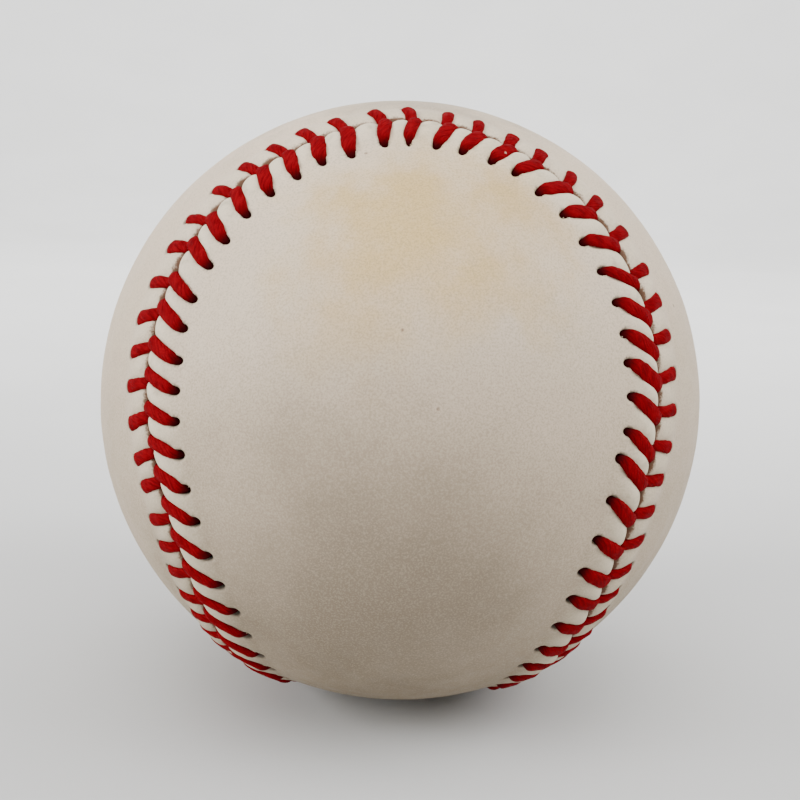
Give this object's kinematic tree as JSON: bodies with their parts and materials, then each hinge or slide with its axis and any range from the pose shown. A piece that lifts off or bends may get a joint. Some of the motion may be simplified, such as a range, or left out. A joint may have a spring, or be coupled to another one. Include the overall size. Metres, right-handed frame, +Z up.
{
  "type": "baseball",
  "caption": "Hard ball for a bat-and-ball game: two figure-eight leather panels joined by raised red stitching over yarn windings and a cork and rubber centre.",
  "frame": {"origin": "middle of the ball", "axes": "Z up through the waist of the side panel, with the waist of the front panel underneath; the front panel's lobe faces -Y and the side panel's lobes face +X and -X"},
  "size_m": [0.074, 0.074, 0.0744],
  "materials": {
    "cork": "granular cork and rubber mix",
    "black_rubber": "moulded, matt",
    "red_rubber": "moulded, matt",
    "grey_wool": "wound wool yarn",
    "white_wool": "wound wool yarn",
    "cotton": "wound cotton blend thread, tacky with cement",
    "leather": "alum-tanned, off-white, fine grain, lightly scuffed",
    "red_thread": "waxed twisted cotton"
  },
  "bodies": {
    "root": {"cork_core": "cork", "black_rubber_shell_upper": "black_rubber", "black_rubber_shell_lower": "black_rubber", "red_rubber_gasket": "red_rubber", "red_rubber_jacket": "red_rubber", "grey_wool_winding": "grey_wool", "white_wool_winding": "white_wool", "outer_grey_wool_winding": "grey_wool", "cotton_finish_winding": "cotton", "leather_panel_front": "leather", "leather_panel_sides": "leather", "red_thread_first_needle": "red_thread", "red_thread_second_needle": "red_thread"}
  },
  "joints": []
}
